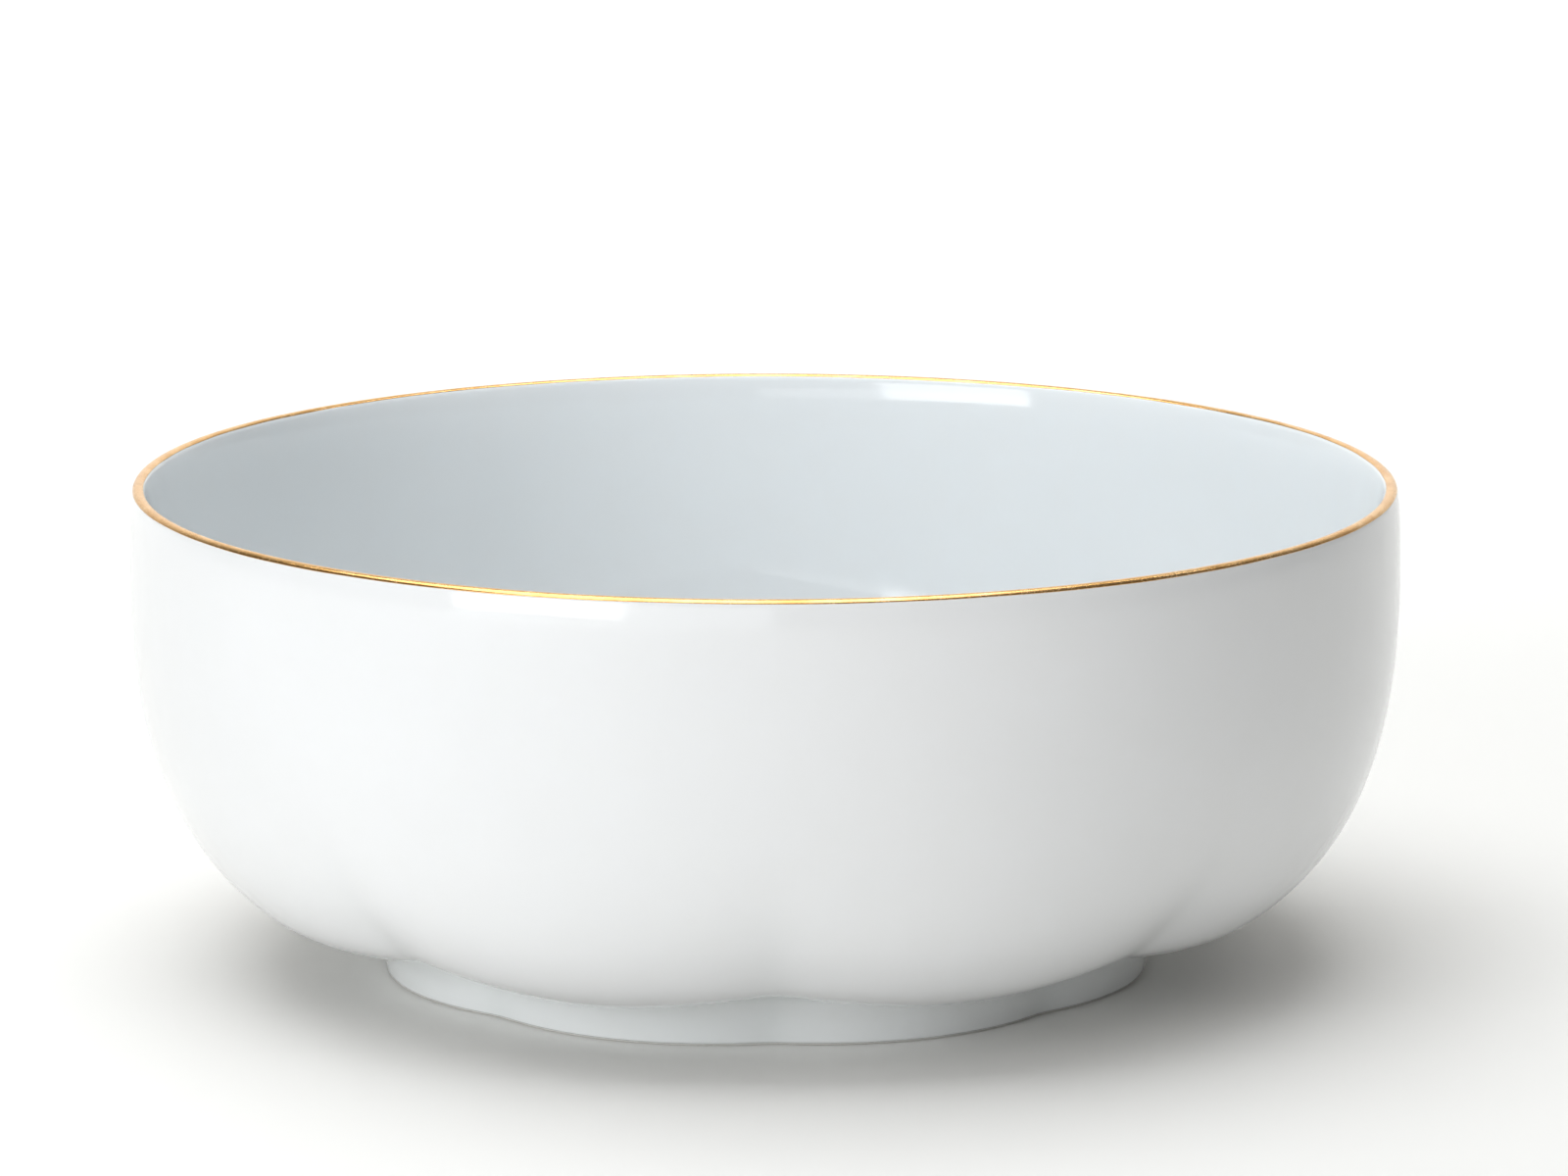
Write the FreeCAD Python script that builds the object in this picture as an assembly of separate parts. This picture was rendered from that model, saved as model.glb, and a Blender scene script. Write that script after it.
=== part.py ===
import FreeCAD, Part
import math
import os

from FreeCAD import Vector

# A round porcelain serving bowl. The wall is round at the lip and swells into soft lobes
# below, which meet in creases and stand on a lobed foot ring. Everything is coated in clear
# glaze except the edge that the bowl stands on, and the lip is gilded.
# Millimetres, +Z up, origin at the centre of the standing edge, creases on the X and Y axes.

os.makedirs("parts", exist_ok=True)

# Driving dimensions
HEIGHT = 92.0            # standing edge to the top of the gilding
LIP_RADIUS = 117.75      # axis to the top of the lip
GLAZE = 0.25
GILDING = 0.1
LOBES = 8
SEAM_Z = 10.2            # where the foot ring meets the body
SLIP = 0.3               # thickness of the slip between foot ring and body
BARE_EDGE = 0.4          # height of the unglazed edge above the table
INSIDE_FLOOR_Z = 13.6    # top of the glaze on the inside floor
FLOOR_RADIUS = 58.0      # flat middle of the inside floor
STEPS_PER_LOBE = 8       # spans of the surface across one lobe
GOLD_SPANS = 1           # the gold covers this many spans of each outline, from the top

LOBE_ANGLE = 360.0 / LOBES
LIP_Z = HEIGHT - GILDING  # top of the glazed lip
WELL_TOP_Z = SEAM_Z - GLAZE
UP = Vector(0, 0, 1)


def lip(side):
    """Control points of the rounded lip, outwards for side 1 and inwards for side -1."""
    round_over = [(0.0, 0.0), (0.36, 0.0), (1.0, 0.28), (1.3, 0.94)]
    return [(LIP_RADIUS + side * across, LIP_Z - down) for across, down in round_over]


# Control points (radius, height) of the finished surfaces, from the top down. Each surface
# has one outline through the middle of a lobe and one along a crease.
OUTER_UPPER = lip(1) + [
    (119.15, 90.0), (119.5, 88.0), (119.75, 82.5), (119.9, 72.5), (119.4, 60.0),
]
OUTER_LOBE = OUTER_UPPER + [
    (117.8, 48.2), (114.8, 36.2), (109.6, 26.2), (103.0, 18.9),
    (96.8, 13.8), (90.3, 10.9), (84.4, 8.8), (78.4, SEAM_Z),
]
OUTER_CREASE = OUTER_UPPER + [
    (117.9, 48.8), (114.2, 38.3), (107.3, 28.5), (99.0, 20.2),
    (92.2, 14.8), (85.2, 13.4), (78.7, 12.4), (73.9, SEAM_Z),
]
INNER_UPPER = lip(-1) + [
    (116.2, 90.0), (115.85, 88.3), (115.5, 83.5), (115.4, 72.0), (114.8, 60.0),
]
INNER_LOBE = INNER_UPPER + [
    (113.4, 48.5), (110.4, 37.0), (105.3, 28.0), (98.9, 21.4),
    (93.4, 17.3), (86.8, 14.8), (76.0, INSIDE_FLOOR_Z), (FLOOR_RADIUS, INSIDE_FLOOR_Z),
]
INNER_CREASE = INNER_UPPER + [
    (113.3, 49.3), (109.7, 39.6), (103.3, 31.0), (95.4, 24.0),
    (88.8, 19.6), (81.8, 16.8), (72.0, INSIDE_FLOOR_Z), (FLOOR_RADIUS, INSIDE_FLOOR_Z),
]
FOOT_OUTER_LOBE = [(78.4, SEAM_Z), (75.6, 6.9), (74.4, 4.2), (74.0, 1.6), (73.6, 0.0)]
FOOT_OUTER_CREASE = [(73.9, SEAM_Z), (72.0, 6.9), (71.0, 4.2), (70.7, 1.6), (70.3, 0.0)]
WELL_LOBE = [(62.0, WELL_TOP_Z), (65.4, WELL_TOP_Z), (67.0, 7.4), (67.9, 3.2), (68.3, 0.0)]
WELL_CREASE = [(59.4, WELL_TOP_Z), (62.6, WELL_TOP_Z), (64.0, 7.4), (64.8, 3.2), (65.3, 0.0)]


def moved(outline, distance, level_ends=()):
    """The outline moved squarely to itself, away from the axis where it runs down and
    downwards where it runs inwards. The ends named in level_ends keep their height."""
    last = len(outline) - 1
    result = []
    for i, (radius, height) in enumerate(outline):
        r0, z0 = outline[max(i - 1, 0)]
        r1, z1 = outline[min(i + 1, last)]
        length = math.hypot(r1 - r0, z1 - z0)
        if (i == 0 and "top" in level_ends) or (i == last and "bottom" in level_ends):
            result.append((radius + distance, height))
        else:
            across = distance * (z0 - z1) / length
            along = distance * (r1 - r0) / length
            result.append((radius + across, height + along))
    return result


def first_spans(outline, count):
    """Control points of the outline's first spans alone."""
    spans = len(outline) - 3
    curve = Part.BSplineCurve()
    curve.buildFromPolesMultsKnots(
        [Vector(radius, 0, height) for radius, height in outline],
        [4] + [1] * (spans - 1) + [4], [float(k) for k in range(spans + 1)], False, 3,
    )
    curve.segment(0, count)
    return [(pole.x, pole.z) for pole in curve.getPoles()]


def lobed_face(lobe, crease):
    """One lobe of a surface, from the crease at azimuth 0 to the next crease."""
    steps = range(STEPS_PER_LOBE + 1)
    rings = []
    for (lobe_r, lobe_z), (crease_r, crease_z) in zip(lobe, crease):
        points = []
        for step in steps:
            share = step / STEPS_PER_LOBE
            towards_crease = (2 * share - 1) ** 2
            radius = lobe_r + (crease_r - lobe_r) * towards_crease
            height = lobe_z + (crease_z - lobe_z) * towards_crease
            angle = math.radians(share * LOBE_ANGLE)
            points.append(Vector(radius * math.cos(angle), radius * math.sin(angle), height))
        ring = Part.BSplineCurve()
        ring.interpolate(Points=points, Parameters=[float(step) for step in steps])
        rings.append(ring)
    degree = min(3, len(lobe) - 1)
    spans = len(lobe) - degree
    surface = Part.BSplineSurface()
    surface.buildFromPolesMultsKnots(
        [ring.getPoles() for ring in rings],
        [degree + 1] + [1] * (spans - 1) + [degree + 1], rings[0].getMultiplicities(),
        [float(k) for k in range(spans + 1)], rings[0].getKnots(),
        False, False, degree, rings[0].Degree,
    )
    return surface.toShape()


def all_round(lobe, crease):
    """The lobed surface all the way round, as one face per lobe."""
    sector = lobed_face(lobe, crease)
    return [sector.rotated(Vector(), UP, k * LOBE_ANGLE) for k in range(LOBES)]


def joining_strip(lobe_a, crease_a, lobe_b, crease_b, end):
    """The narrow surface between the ends of two outlines; end is 0 or -1."""
    return all_round([lobe_a[end], lobe_b[end]], [crease_a[end], crease_b[end]])


def level_cap(faces, height):
    """The flat face that closes a lobed surface at one of its level ends."""
    edges = []
    for face in faces:
        level = [e for e in face.Edges if all(abs(v.Z - height) < 1e-6 for v in e.Vertexes)]
        edges.append(level[0])
    return Part.Face(Part.Wire(edges))


def solid_of(faces):
    """The solid that a closed set of faces bounds."""
    shell = Part.Shell(faces)
    shell.sewShape()
    solid = Part.Solid(shell)
    if solid.Volume < 0:
        solid.reverse()
    return solid


def plug(lobe, crease):
    """The solid inside a lobed surface with level ends."""
    sides = all_round(lobe, crease)
    return solid_of(sides + [level_cap(sides, lobe[0][1]), level_cap(sides, lobe[-1][1])])


def band(low, high):
    """A wide disc between two heights, for trimming."""
    return Part.makeCylinder(2 * LIP_RADIUS, high - low, Vector(0, 0, low))


# The fired clay under the glaze
OUTER_CLAY = [moved(line, -GLAZE, ("bottom",)) for line in (OUTER_LOBE, OUTER_CREASE)]
INNER_CLAY = [moved(line, GLAZE) for line in (INNER_LOBE, INNER_CREASE)]
FOOT_OUTER = (FOOT_OUTER_LOBE, FOOT_OUTER_CREASE)
FOOT_CLAY = [moved(line, -GLAZE, ("top", "bottom")) for line in FOOT_OUTER]
WELL_CLAY = []
for line in (WELL_LOBE, WELL_CREASE):
    wider = moved(line, GLAZE, ("bottom",))
    WELL_CLAY.append([(radius, SEAM_Z) for radius, _ in wider[:2]] + wider[2:])

foot_clay = plug(*FOOT_CLAY).cut(plug(*WELL_CLAY))


def porcelain_body():
    """Wall and floor, up to the round lip."""
    outside = all_round(*OUTER_CLAY)
    inside = all_round(*INNER_CLAY)
    underside = level_cap(outside, SEAM_Z)
    floor = level_cap(inside, INSIDE_FLOOR_Z - GLAZE)
    return solid_of(outside + inside + [underside, floor])


def foot_ring():
    """The lobed ring that the bowl stands on."""
    return foot_clay.common(band(0, SEAM_Z - SLIP))


def slip_seam():
    """The thin bed of slip that joins the foot ring to the body."""
    return foot_clay.common(band(SEAM_Z - SLIP, SEAM_Z))


def glaze_outside():
    """The coat on the outer wall, from the top of the lip to the foot ring."""
    faces = all_round(OUTER_LOBE, OUTER_CREASE) + all_round(*OUTER_CLAY)
    for end in (0, -1):
        faces += joining_strip(OUTER_LOBE, OUTER_CREASE, *OUTER_CLAY, end)
    return solid_of(faces)


def glaze_inside():
    """The coat on the inner wall and floor, from the top of the lip."""
    surface = all_round(INNER_LOBE, INNER_CREASE)
    back = all_round(*INNER_CLAY)
    lip_strip = joining_strip(INNER_LOBE, INNER_CREASE, *INNER_CLAY, 0)
    floors = [level_cap(surface, INSIDE_FLOOR_Z), level_cap(back, INSIDE_FLOOR_Z - GLAZE)]
    return solid_of(surface + back + lip_strip + floors)


def glaze_foot():
    """The coat on the outer wall of the foot ring, wiped off at the standing edge."""
    coat = plug(*FOOT_OUTER).cut(plug(*FOOT_CLAY))
    return coat.common(band(BARE_EDGE, SEAM_Z))


def glaze_well():
    """The coat in the recess inside the foot ring, wiped off at the standing edge."""
    coat = plug(*WELL_CLAY).cut(plug(WELL_LOBE, WELL_CREASE))
    return coat.common(band(BARE_EDGE, SEAM_Z))


def gilded_lip():
    """The fired gold band over the top of the lip."""
    faces = []
    for outline, outwards in ((OUTER_LOBE, GILDING), (INNER_LOBE, -GILDING)):
        under = first_spans(outline, GOLD_SPANS)
        over = moved(under, outwards)
        faces += all_round(under, under) + all_round(over, over)
        faces += joining_strip(under, under, over, over, -1)
    return solid_of(faces)


NODES = {
    "porcelain_body": porcelain_body,
    "foot_ring": foot_ring,
    "slip_seam": slip_seam,
    "glaze_outside": glaze_outside,
    "glaze_inside": glaze_inside,
    "glaze_foot": glaze_foot,
    "glaze_well": glaze_well,
    "gilded_lip": gilded_lip,
}

for name, make in NODES.items():
    shape = make()
    solids = shape.Solids
    shape = solids[0] if len(solids) == 1 else Part.makeCompound(solids)
    print(f"{name}: {len(solids)} solid, valid {shape.isValid()}, {shape.Volume:.1f} mm3")
    shape.exportStep(f"parts/{name}.step")
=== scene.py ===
import bpy
import math
import numpy as np
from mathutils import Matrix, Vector


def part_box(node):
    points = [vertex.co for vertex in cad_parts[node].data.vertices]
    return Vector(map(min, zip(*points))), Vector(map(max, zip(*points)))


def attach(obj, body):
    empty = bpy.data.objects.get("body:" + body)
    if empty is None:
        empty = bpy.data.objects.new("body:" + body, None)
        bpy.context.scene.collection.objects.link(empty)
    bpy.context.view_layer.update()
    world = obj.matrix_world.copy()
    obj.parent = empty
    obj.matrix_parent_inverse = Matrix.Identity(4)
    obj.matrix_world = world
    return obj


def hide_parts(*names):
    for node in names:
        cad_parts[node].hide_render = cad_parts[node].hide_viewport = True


# A white porcelain serving bowl with a gilt lip. Each CAD node is replaced by a mesh on the
# same outlines, softened as glazing, grinding and brushing soften the real one. Outlines are
# in millimetres and everything else is in metres.

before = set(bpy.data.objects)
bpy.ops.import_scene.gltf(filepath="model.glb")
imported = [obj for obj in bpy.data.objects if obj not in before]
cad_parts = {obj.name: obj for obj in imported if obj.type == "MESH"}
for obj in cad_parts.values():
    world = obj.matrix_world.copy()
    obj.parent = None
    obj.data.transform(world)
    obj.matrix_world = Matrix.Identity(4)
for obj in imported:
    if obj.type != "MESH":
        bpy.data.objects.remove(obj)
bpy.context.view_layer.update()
MM = 0.001

# ---------------------------------------------------------------- outlines of the bowl, mm
# Control points (radius, height) from the top of the lip down, as in the CAD model. Each
# surface has one outline through the middle of a lobe and one along a crease.
LOBES = 8
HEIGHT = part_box("gilded_lip")[1].z / MM
GILDING = 0.1
GLAZE = 0.25
LIP_RADIUS = 117.75
LIP_Z = HEIGHT - GILDING
SEAM_Z = 10.2            # where the foot ring meets the body
SLIP = 0.3
INSIDE_FLOOR_Z = 13.6
FLOOR_RADIUS = 58.0
WELL_TOP_Z = SEAM_Z - GLAZE
BARE_EDGE = 0.4          # height of the unglazed edge above the floor


def lip(side):
    """Control points of the rounded lip, outwards for side 1 and inwards for side -1."""
    round_over = [(0.0, 0.0), (0.36, 0.0), (1.0, 0.28), (1.3, 0.94)]
    return [(LIP_RADIUS + side * across, LIP_Z - down) for across, down in round_over]


OUTER_UPPER = lip(1) + [
    (119.15, 90.0), (119.5, 88.0), (119.75, 82.5), (119.9, 72.5), (119.4, 60.0),
]
OUTER = (
    OUTER_UPPER + [
        (117.8, 48.2), (114.8, 36.2), (109.6, 26.2), (103.0, 18.9),
        (96.8, 13.8), (90.3, 10.9), (84.4, 8.8), (78.4, SEAM_Z),
    ],
    OUTER_UPPER + [
        (117.9, 48.8), (114.2, 38.3), (107.3, 28.5), (99.0, 20.2),
        (92.2, 14.8), (85.2, 13.4), (78.7, 12.4), (73.9, SEAM_Z),
    ],
)
INNER_UPPER = lip(-1) + [
    (116.2, 90.0), (115.85, 88.3), (115.5, 83.5), (115.4, 72.0), (114.8, 60.0),
]
INNER = (
    INNER_UPPER + [
        (113.4, 48.5), (110.4, 37.0), (105.3, 28.0), (98.9, 21.4),
        (93.4, 17.3), (86.8, 14.8), (76.0, INSIDE_FLOOR_Z), (FLOOR_RADIUS, INSIDE_FLOOR_Z),
    ],
    INNER_UPPER + [
        (113.3, 49.3), (109.7, 39.6), (103.3, 31.0), (95.4, 24.0),
        (88.8, 19.6), (81.8, 16.8), (72.0, INSIDE_FLOOR_Z), (FLOOR_RADIUS, INSIDE_FLOOR_Z),
    ],
)
FOOT_OUTER = (
    [(78.4, SEAM_Z), (75.6, 6.9), (74.4, 4.2), (74.0, 1.6), (73.6, 0.0)],
    [(73.9, SEAM_Z), (72.0, 6.9), (71.0, 4.2), (70.7, 1.6), (70.3, 0.0)],
)
WELL = (
    [(62.0, WELL_TOP_Z), (65.4, WELL_TOP_Z), (67.0, 7.4), (67.9, 3.2), (68.3, 0.0)],
    [(59.4, WELL_TOP_Z), (62.6, WELL_TOP_Z), (64.0, 7.4), (64.8, 3.2), (65.3, 0.0)],
)

# ---------------------------------------------------------------- mesh helpers
AROUND = 640             # mesh columns, the same number to every lobe
CREASE_SOFTNESS = 2.2    # degrees over which the glaze rounds a crease
AZIMUTHS = np.arange(AROUND) * 360.0 / AROUND
ON_AXIS = 1e-9           # a radius below this is on the axis
CREASE_TOP_Z = 45.0      # no glaze has run together and no shade is painted in the creases above this height
POOL_AND_SHADE_FADE = 15.0         # the pools of glaze and their painted shade fade out over this distance towards the flat floor
POOL_AND_SHADE_SHARPNESS = 6       # how closely the pools of glaze and their painted shade keep to the crease
SEAM_POOL_AND_SHADE_REACH = 1.2          # reach of the glaze that has run together, with its painted shade, above and below the foot ring's top
# share of the glaze run together, with its painted shade, at the top of the foot ring
SEAM_POOL_AND_SHADE_SHARE = 0.5


def spline(poles, count):
    """Points along a clamped, evenly spaced cubic spline."""
    poles = np.array(poles, float)
    n = len(poles)
    knots = np.concatenate([[0] * 3, np.arange(n - 2), [n - 3] * 3]).astype(float)
    u = np.linspace(0, n - 3, count)
    span = np.clip(np.floor(u).astype(int), 0, n - 4) + 3
    points = [poles[span - 3 + j].copy() for j in range(4)]
    for level in range(1, 4):
        for j in range(3, level - 1, -1):
            i = span - 3 + j
            width = knots[i + 4 - level] - knots[i]
            t = ((u - knots[i]) / width)[:, None]
            points[j] = (1 - t) * points[j - 1] + t * points[j]
    return points[3]


def radius_at(line, heights):
    """Radii of a sampled line at these heights; the line runs down."""
    return np.interp(heights, line[::-1, 1], line[::-1, 0])


def offset(line, distance):
    """A sampled line moved squarely to itself: outwards where it runs down, if positive."""
    d = np.gradient(line, axis=0)
    n = np.stack([-d[:, 1], d[:, 0]], -1)
    return line + distance * n / np.linalg.norm(n, axis=1)[:, None]


def crease_share(azimuth):
    """1 in a crease, 0 in the middle of a lobe. Creases are at azimuth 0, 45, 90 ..."""
    half = 180.0 / LOBES
    off = np.abs((azimuth + half) % (2 * half) - half)
    soft = np.sqrt(off ** 2 + CREASE_SOFTNESS ** 2)
    return np.clip(1 - soft / half, 0, 1) ** 2


def rings(lobe, crease):
    """Points of a lobed surface, rows by columns, in metres. A row may hold one radius and
    height per column instead of a single pair."""
    share = crease_share(AZIMUTHS)[None, :, None]
    lobe = lobe[:, None, :] if lobe.ndim == 2 else lobe
    crease = crease[:, None, :] if crease.ndim == 2 else crease
    rz = lobe * (1 - share) + crease * share
    a = np.radians(AZIMUTHS)[None, :]
    return np.stack([rz[..., 0] * np.cos(a), rz[..., 0] * np.sin(a), rz[..., 1]], -1) * MM


def signed_area(line):
    r, z = line[:, 0], line[:, 1]
    return 0.5 * np.sum(r * np.roll(z, -1) - np.roll(r, -1) * z)


def solid_mesh(lobe, crease):
    """Points and faces of the solid with this section. The section is a closed line, or one
    that starts and ends on the axis, where a single point closes each end."""
    if signed_area(lobe.mean(1) if lobe.ndim == 3 else lobe) > 0:
        lobe, crease = lobe[::-1], crease[::-1]
    on_axis = lobe.ndim == 2 and lobe[0, 0] < ON_AXIS and lobe[-1, 0] < ON_AXIS
    ends = [lobe[0, 1], lobe[-1, 1]] if on_axis else []
    if on_axis:
        lobe, crease = lobe[1:-1], crease[1:-1]
    points = rings(lobe, crease).reshape(-1, 3)
    rows = len(lobe)
    faces = []
    for i in range(rows - 1 if on_axis else rows):
        low, high = i * AROUND, (i + 1) % rows * AROUND
        for j in range(AROUND):
            k = (j + 1) % AROUND
            faces.append((low + j, high + j, high + k, low + k))
    if on_axis:
        first, last = len(points), len(points) + 1
        points = np.concatenate([points, [(0, 0, z * MM) for z in ends]])
        bottom = (rows - 1) * AROUND
        for j in range(AROUND):
            k = (j + 1) % AROUND
            faces.append((first, j, k))
            faces.append((last, bottom + k, bottom + j))
    return points, faces


def pooling_and_shade(points):
    """0 to 1 for each point: how much glaze has run together there, in the creases and at the top
    of the foot ring, together with painted shade for these creases and the corner over the foot
    ring."""
    azimuth = np.degrees(np.arctan2(points[:, 1], points[:, 0]))
    radius, height = np.hypot(points[:, 0], points[:, 1]) / MM, points[:, 2] / MM
    low_down = np.clip((CREASE_TOP_Z - height) / CREASE_TOP_Z, 0, 1)
    off_floor = np.clip((radius - FLOOR_RADIUS) / POOL_AND_SHADE_FADE, 0, 1)
    crease_pool_and_shade = crease_share(azimuth) ** POOL_AND_SHADE_SHARPNESS * low_down * off_floor
    seam_pool_and_shade = np.exp(-((height - SEAM_Z) / SEAM_POOL_AND_SHADE_REACH) ** 2)
    return np.clip(crease_pool_and_shade + SEAM_POOL_AND_SHADE_SHARE * seam_pool_and_shade, 0, 1)


def make_piece(name, section, material, node):
    """A smooth mesh piece that rides on the body and stands for a CAD node. The section is a
    pair of lines, through a lobe and along a crease."""
    points, faces = solid_mesh(*section)
    mesh = bpy.data.meshes.new(name)
    mesh.from_pydata([tuple(p) for p in points], [], faces)
    mesh.validate()
    mesh.polygons.foreach_set("use_smooth", [True] * len(mesh.polygons))
    mesh.materials.append(material)
    # each point's share of glaze run together and of painted shade, read by the glaze's colour
    pooled_glaze_and_shade = mesh.attributes.new("pooled_glaze_and_shade", "FLOAT", "POINT")
    pooled_glaze_and_shade.data.foreach_set("value", pooling_and_shade(points))
    obj = bpy.data.objects.new(name, mesh)
    bpy.context.scene.collection.objects.link(obj)
    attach(obj, "root")
    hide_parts(node)


# ---------------------------------------------------------------- materials
MIX_A, MIX_B, MIX_RESULT = 6, 7, 2    # the colour sockets of a Mix node


def new_material(name):
    """A material, its node tree, its shader and its object coordinates."""
    material = bpy.data.materials.new(name)
    material.use_nodes = True
    tree = material.node_tree
    place = tree.nodes.new("ShaderNodeTexCoord").outputs["Object"]
    return material, tree, tree.nodes["Principled BSDF"], place


def noise(tree, place, scale, detail, roughness=0.5):
    node = tree.nodes.new("ShaderNodeTexNoise")
    node.inputs["Scale"].default_value = scale
    node.inputs["Detail"].default_value = detail
    node.inputs["Roughness"].default_value = roughness
    tree.links.new(place, node.inputs["Vector"])
    return node.outputs["Fac"]


def ramp(tree, factor, stops):
    """A colour ramp; stops are (position, colour)."""
    node = tree.nodes.new("ShaderNodeValToRGB")
    while len(node.color_ramp.elements) < len(stops):
        node.color_ramp.elements.new(0.5)
    for element, (position, colour) in zip(node.color_ramp.elements, stops):
        element.position = position
        element.color = (*colour, 1)
    tree.links.new(factor, node.inputs["Fac"])
    return node.outputs["Color"]


def grey(value):
    return (value, value, value)


def bump(tree, height, strength, distance, normal=None):
    """A normal for this height, on top of another normal if there is one."""
    node = tree.nodes.new("ShaderNodeBump")
    node.inputs["Strength"].default_value = strength
    node.inputs["Distance"].default_value = distance
    tree.links.new(height, node.inputs["Height"])
    if normal is not None:
        tree.links.new(normal, node.inputs["Normal"])
    return node.outputs["Normal"]


def tint(tree, share, under, over):
    """The colour socket under, covered by the colour over where the share is 1."""
    node = tree.nodes.new("ShaderNodeMix")
    node.data_type = "RGBA"
    tree.links.new(share, node.inputs["Factor"])
    tree.links.new(under, node.inputs[MIX_A])
    node.inputs[MIX_B].default_value = (*over, 1)
    return node.outputs[MIX_RESULT]


def porcelain_glaze(name, low, high):
    """Clear glaze on white porcelain, clouded from the low colour to the high one, greener and
    darker where glaze has run together, partly real and partly painted shade in the creases and
    the corner over the foot ring, with a gentle ripple and a faint orange peel in its gloss."""
    material, tree, bsdf, place = new_material(name)
    cloud = noise(tree, place, scale=11.0, detail=3.0)
    colour = ramp(tree, cloud, [(0.32, low), (0.68, high)])
    mottle = noise(tree, place, scale=160.0, detail=2.0)
    faint = ramp(tree, mottle, [(0.3, grey(0.0)), (0.9, grey(0.22))])
    colour = tint(tree, faint, colour, (0.80, 0.80, 0.785))
    pooled_glaze_and_shade = tree.nodes.new("ShaderNodeAttribute")
    pooled_glaze_and_shade.attribute_name = "pooled_glaze_and_shade"
    share = ramp(tree, pooled_glaze_and_shade.outputs["Fac"], [(0.0, grey(0.0)), (1.0, grey(0.45))])
    # greener, darker tint where glaze has run together: partly real, partly painted shade in the
    # creases and in the corner over the foot ring
    colour = tint(tree, share, colour, (0.60, 0.66, 0.65))
    tree.links.new(colour, bsdf.inputs["Base Color"])
    ripple = noise(tree, place, scale=38.0, detail=1.5)
    peel = noise(tree, place, scale=850.0, detail=1.0)
    normal = bump(tree, ripple, strength=0.2, distance=0.00004)
    normal = bump(tree, peel, strength=0.05, distance=0.00001, normal=normal)
    tree.links.new(normal, bsdf.inputs["Normal"])
    gloss = noise(tree, place, scale=70.0, detail=3.0)
    sheen = ramp(tree, gloss, [(0.3, grey(0.06)), (0.75, grey(0.12))])
    tree.links.new(sheen, bsdf.inputs["Roughness"])
    bsdf.inputs["IOR"].default_value = 1.52
    return material


def fired_gold():
    """Bright burnished gold, brushed on thinly: richer and paler strokes, fine scuffs."""
    material, tree, bsdf, place = new_material("fired_gold")
    strokes = noise(tree, place, scale=130.0, detail=3.0)
    colour = ramp(tree, strokes, [
        (0.30, (0.76, 0.41, 0.13)), (0.50, (0.85, 0.49, 0.18)), (0.72, (0.92, 0.59, 0.28)),
    ])
    scuffs = noise(tree, place, scale=900.0, detail=4.0, roughness=0.7)
    worn = ramp(tree, scuffs, [(0.60, grey(0.0)), (0.74, grey(0.35))])
    colour = tint(tree, worn, colour, (0.90, 0.78, 0.62))
    tree.links.new(colour, bsdf.inputs["Base Color"])
    rough = ramp(tree, scuffs, [(0.3, grey(0.16)), (0.75, grey(0.34))])
    tree.links.new(rough, bsdf.inputs["Roughness"])
    normal = bump(tree, scuffs, strength=0.15, distance=0.00003)
    tree.links.new(normal, bsdf.inputs["Normal"])
    bsdf.inputs["Metallic"].default_value = 1.0
    return material


def bare_porcelain():
    """Unglazed fired clay, ground smooth: a matt, slightly warm white with fine grit."""
    material, tree, bsdf, place = new_material("bare_porcelain")
    grain = noise(tree, place, scale=1500.0, detail=3.0)
    colour = ramp(tree, grain, [(0.3, (0.76, 0.75, 0.72)), (0.7, (0.82, 0.81, 0.785))])
    soil = noise(tree, place, scale=60.0, detail=4.0)
    patch = ramp(tree, soil, [(0.5, grey(0.0)), (0.8, grey(0.4))])
    colour = tint(tree, patch, colour, (0.70, 0.67, 0.61))
    tree.links.new(colour, bsdf.inputs["Base Color"])
    normal = bump(tree, grain, strength=0.3, distance=0.0001)
    tree.links.new(normal, bsdf.inputs["Normal"])
    bsdf.inputs["Roughness"].default_value = 0.78
    return material


GLAZE_OUTSIDE = porcelain_glaze("glaze_outside", (0.80, 0.808, 0.815), (0.835, 0.842, 0.85))
GLAZE_INSIDE = porcelain_glaze("glaze_inside", (0.782, 0.815, 0.83), (0.815, 0.845, 0.86))
# painted light: the foot ring's glaze is the wall's glaze made lighter, standing in for light on
# the foot ring, which the body shades; the well's coat shares it
GLAZE_FOOT_PAINTED_LIGHT = porcelain_glaze("glaze_foot", (0.86, 0.885, 0.885), (0.89, 0.91, 0.915))
GOLD_MATERIAL = fired_gold()
BARE_MATERIAL = bare_porcelain()

# ---------------------------------------------------------------- clay and slip
WALL_ROWS = 72
FOOT_ROWS = 40
FLOOR_RINGS = (0.0, 15.0, 30.0, 45.0)
FOOT_SAMPLES = 400       # points along an outline of the foot ring or the well
STANDING_ROUND = 0.7     # radius of the ground edges of the foot ring
STANDING_POINTS = 9      # points round each ground edge


def level(radii, height):
    """Points at these radii, all at one height."""
    return np.array([(radius, height) for radius in radii])


def body_clay():
    """The fired clay of the wall and floor, under the glaze."""
    section = []
    floor = level(FLOOR_RINGS, INSIDE_FLOOR_Z - GLAZE)
    underside = level(FLOOR_RINGS, SEAM_Z)
    for outer, inner in zip(OUTER, INNER):
        outside = offset(spline(outer, WALL_ROWS), -GLAZE)[1:]
        outside[-1] = (outer[-1][0] - GLAZE, SEAM_Z)
        inside = offset(spline(inner, WALL_ROWS), GLAZE)
        section.append(np.concatenate([floor, inside[::-1], outside, underside[::-1]]))
    make_piece("body_clay", section, BARE_MATERIAL, "porcelain_body")


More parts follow.
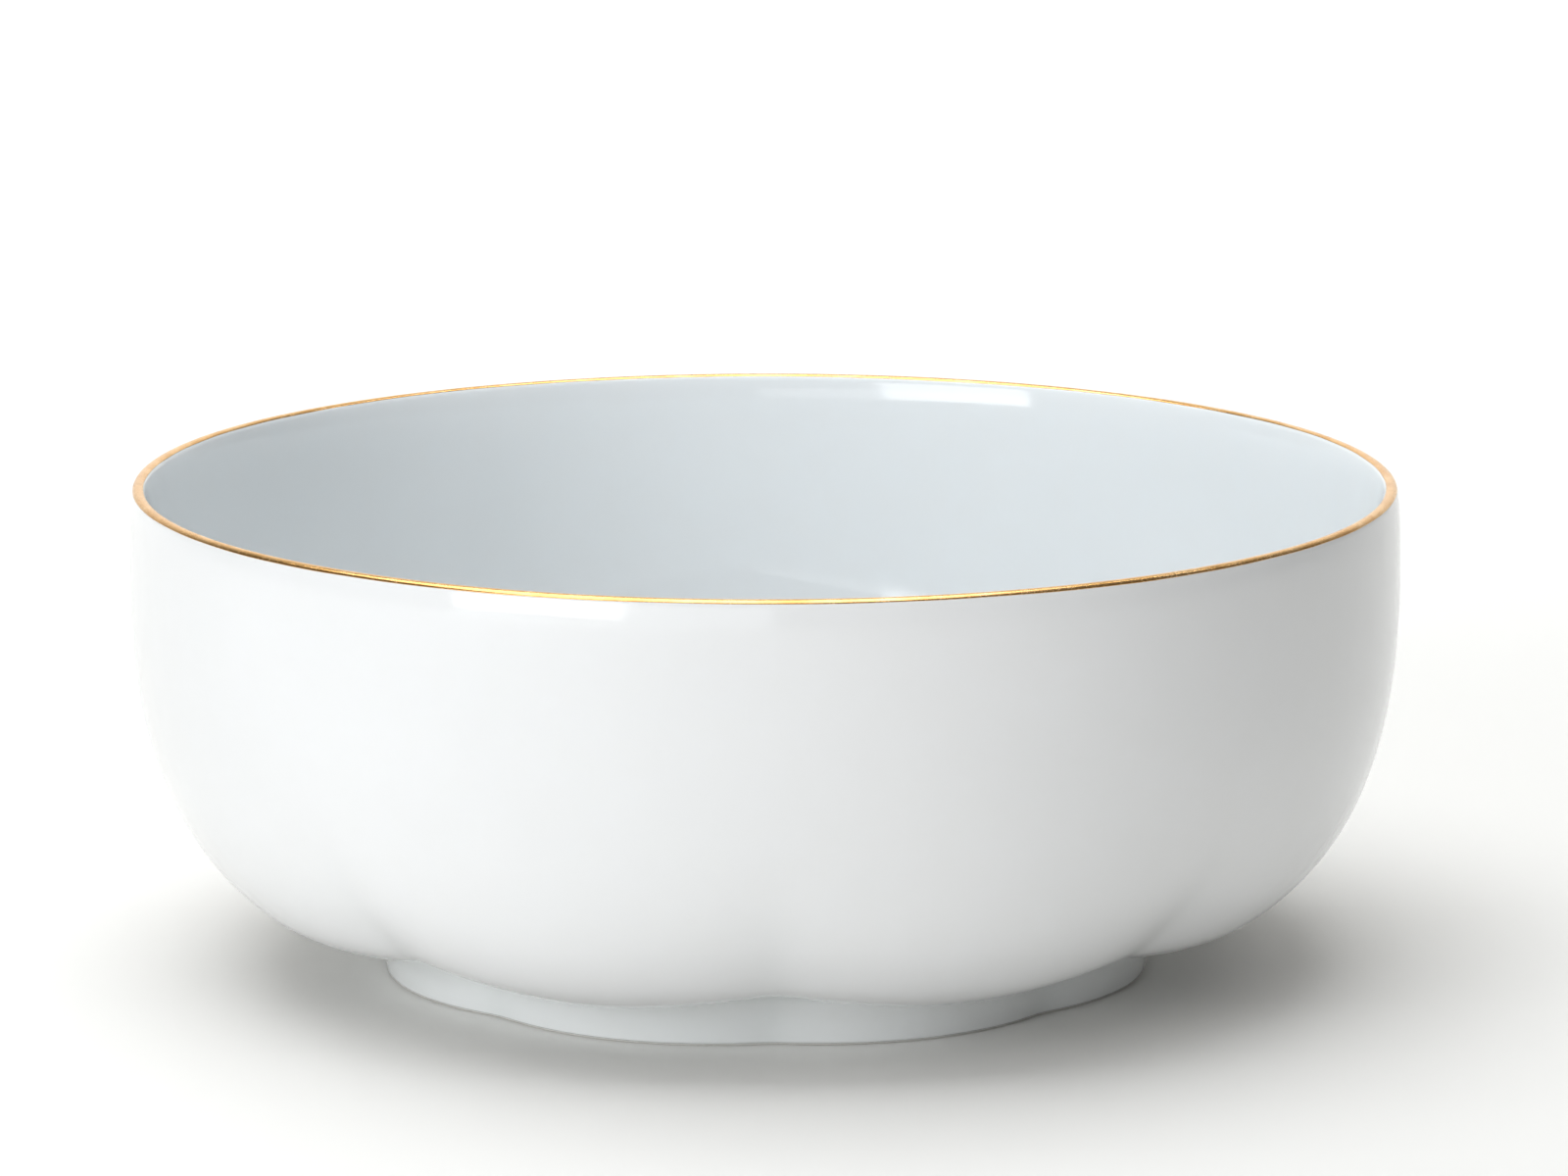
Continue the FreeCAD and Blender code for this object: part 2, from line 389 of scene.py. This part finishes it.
def ground_side(outline, side):
    """One side of the foot ring's clay with its ground edge: 1 faces the axis, -1 away."""
    heights = np.linspace(SEAM_Z - SLIP, STANDING_ROUND, FOOT_ROWS)
    r = radius_at(spline(outline, FOOT_SAMPLES), heights) + side * GLAZE
    turn = np.radians(np.linspace(0, 90, STANDING_POINTS))[1:]
    arc_r = r[-1] + side * STANDING_ROUND * (1 - np.cos(turn))
    arc_z = STANDING_ROUND * (1 - np.sin(turn))
    return np.concatenate([np.stack([r, heights], -1), np.stack([arc_r, arc_z], -1)])


def foot_clay():
    """The fired clay of the foot ring, its standing edge ground round."""
    section = []
    for outer, inner in zip(FOOT_OUTER, WELL):
        section.append(np.concatenate([ground_side(outer, -1), ground_side(inner, 1)[::-1]]))
    make_piece("foot_ring_clay", section, BARE_MATERIAL, "foot_ring")


def slip_bed():
    """The slip between the foot ring and the body."""
    section = []
    for outer, inner in zip(FOOT_OUTER, WELL):
        outside, inside = outer[0][0] - GLAZE, inner[1][0] + GLAZE
        low, high = SEAM_Z - SLIP, SEAM_Z
        section.append(np.array([(outside, high), (outside, low), (inside, low), (inside, high)]))
    make_piece("slip_bed", section, BARE_MATERIAL, "slip_seam")


# ---------------------------------------------------------------- glaze
FILLET = 1.2             # reach of the glaze that fills the corner over the foot ring
FILLET_POINTS = 12
FILLET_SINK = 0.2        # the fillet starts this far inside the wall's coat
TOP_SINK = 0.1           # the foot's coat ends this far inside the body
UNDERSIDE_SAMPLES = 3000
EDGE_ROUND = 0.5         # height over which a coat thins to nothing at its bare edge
EDGE_ROWS = 10
EDGE_GAP = 0.05          # least distance from the thinned rows to the row above them
WELL_STEP = 10           # every tenth sample of the well's outline is a row


def glaze_outside():
    """The coat on the outer wall, from the top of the lip to the foot ring."""
    section = []
    for outline in OUTER:
        surface = spline(outline, WALL_ROWS)
        section.append(np.concatenate([surface, offset(surface, -GLAZE)[::-1]]))
    make_piece("outer_glaze_coat", section, GLAZE_OUTSIDE, "glaze_outside")


def glaze_inside():
    """The coat on the inner wall and across the floor."""
    section = []
    floor = level(FLOOR_RINGS, INSIDE_FLOOR_Z)
    floor_back = level(FLOOR_RINGS, INSIDE_FLOOR_Z - GLAZE)
    for outline in INNER:
        surface = spline(outline, WALL_ROWS)
        back = offset(surface, GLAZE)
        section.append(np.concatenate([floor, surface[::-1], back, floor_back[::-1]]))
    make_piece("inner_glaze_coat", section, GLAZE_INSIDE, "glaze_inside")


def thinned(line, side):
    """A coat's surface brought back to the clay at its wiped lower edge. The side is 1 for
    a coat that faces outwards and -1 for one that faces the axis."""
    t = np.clip((line[:, 1] - BARE_EDGE) / EDGE_ROUND, 0, 1)
    back = GLAZE * (1 - np.sqrt(1 - (1 - t) ** 2))
    return np.stack([line[:, 0] - side * back, line[:, 1]], -1)


def at_distance(line, distance):
    """The point this far along a sampled line from its start."""
    run = np.concatenate([[0], np.cumsum(np.linalg.norm(np.diff(line, axis=0), axis=1))])
    return np.array([np.interp(distance, run, line[:, 0]), np.interp(distance, run, line[:, 1])])


def glaze_foot():
    """The coat on the foot ring, filling the corner under the body."""
    section = []
    for outline, foot_outline in zip(OUTER, FOOT_OUTER):
        underside = spline(outline, UNDERSIDE_SAMPLES)[::-1]
        wall = spline(foot_outline, FOOT_SAMPLES)
        corner = wall[0]
        start = at_distance(underside, FILLET) + [0, FILLET_SINK]
        end = at_distance(wall, FILLET)
        t = np.linspace(0, 1, FILLET_POINTS)[:, None]
        fillet = (1 - t) ** 2 * start + 2 * t * (1 - t) * corner + t ** 2 * end
        heights = np.linspace(end[1], BARE_EDGE, FOOT_ROWS)[1:]
        r = radius_at(wall, heights)
        surface = thinned(np.stack([r, heights], -1), 1)
        back = np.stack([r - GLAZE, heights], -1)[:-1][::-1]
        top = np.array([(corner[0] - GLAZE, SEAM_Z), (corner[0], SEAM_Z + TOP_SINK)])
        section.append(np.concatenate([fillet, surface, back, top]))
    make_piece("foot_glaze_coat", section, GLAZE_FOOT_PAINTED_LIGHT, "glaze_foot")


def glaze_well():
    """The coat in the recess inside the foot ring."""
    section = []
    roof = level(FLOOR_RINGS, WELL_TOP_Z)
    roof_back = level(FLOOR_RINGS, SEAM_Z)
    for outline in WELL:
        wall = spline(outline, FOOT_SAMPLES)
        edge_top = BARE_EDGE + EDGE_ROUND
        upper = wall[wall[:, 1] > edge_top + EDGE_GAP][::WELL_STEP]
        heights = np.linspace(edge_top, BARE_EDGE, EDGE_ROWS)
        lower = np.stack([radius_at(wall, heights), heights], -1)
        line = np.concatenate([upper, lower])
        back = offset(line, GLAZE)[:-1][::-1]
        section.append(np.concatenate([roof, thinned(line, -1), back, roof_back[::-1]]))
    make_piece("well_glaze_coat", section, GLAZE_FOOT_PAINTED_LIGHT, "glaze_well")


# ---------------------------------------------------------------- gilding
GOLD_ROWS = 14
GOLD_GATHER = 1.6           # above 1, the rows are closer together near the top of the lip
GOLD_REACH_OUTSIDE = 0.6    # height of the gold down the outside of the lip
GOLD_REACH_INSIDE = 0.32
GOLD_EDGE = 0.12            # angle of the rounded section at which the gold's edge is cut
GOLD_FULLNESS = 0.4         # below 1, the gold keeps its full thickness nearer to its edges
LIP_SAMPLES = 6000
LIP_PART = 1200             # the lip lies within this many samples
BRUSH_WANDER = 0.035        # how far the painted edges wander
# Waves of the painted edges: number round the lip, size, phase
WAVES_OUTSIDE = ((5, 1.0, 0.6), (13, 0.6, 2.1), (37, 0.35, 0.0))
WAVES_INSIDE = ((4, 1.0, 2.9), (11, 0.6, 0.4), (41, 0.35, 1.3))


def painted_reach(reach, waves):
    """How far down the gold comes at each azimuth."""
    a = np.radians(AZIMUTHS)
    return reach + BRUSH_WANDER * sum(size * np.sin(n * a + phase) for n, size, phase in waves)


def gilt_band():
    """The gilding over the lip, with edges that wander as a brushed line does."""
    outside = spline(OUTER[0], LIP_SAMPLES)[:LIP_PART]
    inside = spline(INNER[0], LIP_SAMPLES)[:LIP_PART]
    reach_outside = painted_reach(GOLD_REACH_OUTSIDE, WAVES_OUTSIDE)
    reach_inside = painted_reach(GOLD_REACH_INSIDE, WAVES_INSIDE)
    columns = []
    for j in range(AROUND):
        halves = []
        for line, reach in ((outside, reach_outside[j]), (inside, reach_inside[j])):
            heights = LIP_Z - reach * np.linspace(0, 1, GOLD_ROWS) ** GOLD_GATHER
            halves.append(np.stack([radius_at(line, heights), heights], -1))
        under = np.concatenate([halves[0][::-1], halves[1][1:]])
        turn = np.linspace(GOLD_EDGE, math.pi - GOLD_EDGE, len(under))
        rise = GILDING * np.sin(turn) ** GOLD_FULLNESS
        d = np.gradient(under, axis=0)
        n = np.stack([d[:, 1], -d[:, 0]], -1) / np.linalg.norm(d, axis=1)[:, None]
        columns.append(np.concatenate([under + n * rise[:, None], under[::-1]]))
    section = np.stack(columns, 1)
    make_piece("gilt_band", [section, section], GOLD_MATERIAL, "gilded_lip")


body_clay()
foot_clay()
slip_bed()
glaze_outside()
glaze_inside()
glaze_foot()
glaze_well()
gilt_band()

# ---------------------------------------------------------------- stage
SWEEP_HALF_WIDTH = 4.0
SWEEP_FRONT_Y = -4.0
SWEEP_BACK_Y = 2.5
SWEEP_TOP_Z = 3.0
SWEEP_BEND = 1.0         # radius of the curve between the floor and the backdrop
BEND_STEPS = 16


def sweep():
    """A pale floor that curves up into a backdrop."""
    bend_y = SWEEP_BACK_Y - SWEEP_BEND
    profile = [(SWEEP_FRONT_Y, 0.0), (bend_y, 0.0)]
    for i in range(1, BEND_STEPS + 1):
        a = math.radians(90 * i / BEND_STEPS)
        profile.append((bend_y + SWEEP_BEND * math.sin(a), SWEEP_BEND * (1 - math.cos(a))))
    profile.append((SWEEP_BACK_Y, SWEEP_TOP_Z))
    points = [(x, y, z) for y, z in profile for x in (-SWEEP_HALF_WIDTH, SWEEP_HALF_WIDTH)]
    faces = [(2 * i, 2 * i + 1, 2 * i + 3, 2 * i + 2) for i in range(len(profile) - 1)]
    mesh = bpy.data.meshes.new("sweep")
    mesh.from_pydata(points, [], faces)
    mesh.polygons.foreach_set("use_smooth", [True] * len(mesh.polygons))
    paper = bpy.data.materials.new("pale_paper")
    paper.use_nodes = True
    bsdf = paper.node_tree.nodes["Principled BSDF"]
    bsdf.inputs["Base Color"].default_value = (0.89, 0.88, 0.855, 1)
    bsdf.inputs["Roughness"].default_value = 0.9
    bsdf.inputs["Specular IOR Level"].default_value = 0.1
    mesh.materials.append(paper)
    obj = bpy.data.objects.new("sweep", mesh)
    bpy.context.scene.collection.objects.link(obj)


sweep()

# ---------------------------------------------------------------- light
LAMP_COLOUR = (0.965, 0.985, 1.0)
WORLD_COLOUR = (1, 0.99, 0.975)
WORLD_LIGHT = 0.145
BOWL_MIDDLE = Vector((0, 0, HEIGHT * MM / 2))
BACKDROP_MIDDLE = Vector((0, SWEEP_BACK_Y, 0.5))


def area_light(name, azimuth, elevation, distance, size, power, target=BOWL_MIDDLE):
    """A rectangular soft light aimed at its target. The azimuth is in degrees from straight
    in front of the target towards +X, and the elevation in degrees above level."""
    a, e = math.radians(azimuth), math.radians(elevation)
    away = Vector((math.sin(a) * math.cos(e), -math.cos(a) * math.cos(e), math.sin(e)))
    light = bpy.data.lights.new(name, "AREA")
    light.shape = "RECTANGLE"
    light.size, light.size_y = size
    light.energy = power
    light.color = LAMP_COLOUR
    obj = bpy.data.objects.new(name, light)
    obj.location = target + away * distance
    obj.rotation_mode = "QUATERNION"
    obj.rotation_quaternion = away.to_track_quat("Z", "Y")
    bpy.context.scene.collection.objects.link(obj)


area_light("key_softbox", -40.2, 14, distance=1.7, size=(0.92, 0.75), power=10.1)
area_light("overhead_softbox", -90, 83, distance=1.5, size=(1.6, 1.6), power=22)
area_light("front_fill", -20, 50, distance=1.6, size=(1.2, 1.2), power=1.6)
area_light("low_fill", -28, 5, distance=1.6, size=(1.7, 0.5), power=3.8)
area_light(
    "backdrop_light", 0, 40, distance=2.0, size=(3.0, 0.6), power=36, target=BACKDROP_MIDDLE,
)

world = bpy.data.worlds.new("studio")
world.use_nodes = True
background = world.node_tree.nodes["Background"]
background.inputs["Color"].default_value = (*WORLD_COLOUR, 1)
background.inputs["Strength"].default_value = WORLD_LIGHT
bpy.context.scene.world = world
bpy.context.scene.view_settings.view_transform = "Standard"

# ---------------------------------------------------------------- camera
CAMERA_DISTANCE = 1.416  # level distance from the bowl's axis
CAMERA_HEIGHT = 0.3506
CAMERA_AZIMUTH = -1.2    # degrees, as for the lights
CAMERA_PITCH = -11.18    # degrees above level
CAMERA_YAW = -0.146      # degrees from looking straight at the bowl's axis
FOCAL_LENGTH = 175.2     # on a 36 mm wide frame
CLIP_END = 50
azimuth = math.radians(CAMERA_AZIMUTH)
camera = bpy.data.objects.new("camera", bpy.data.cameras.new("camera"))
camera.data.lens = FOCAL_LENGTH
camera.data.clip_end = CLIP_END
camera.location = (
    math.sin(azimuth) * CAMERA_DISTANCE, -math.cos(azimuth) * CAMERA_DISTANCE, CAMERA_HEIGHT,
)
camera.rotation_euler = (
    math.radians(90 + CAMERA_PITCH), 0, math.radians(CAMERA_AZIMUTH + CAMERA_YAW),
)
bpy.context.scene.collection.objects.link(camera)
bpy.context.scene.camera = camera
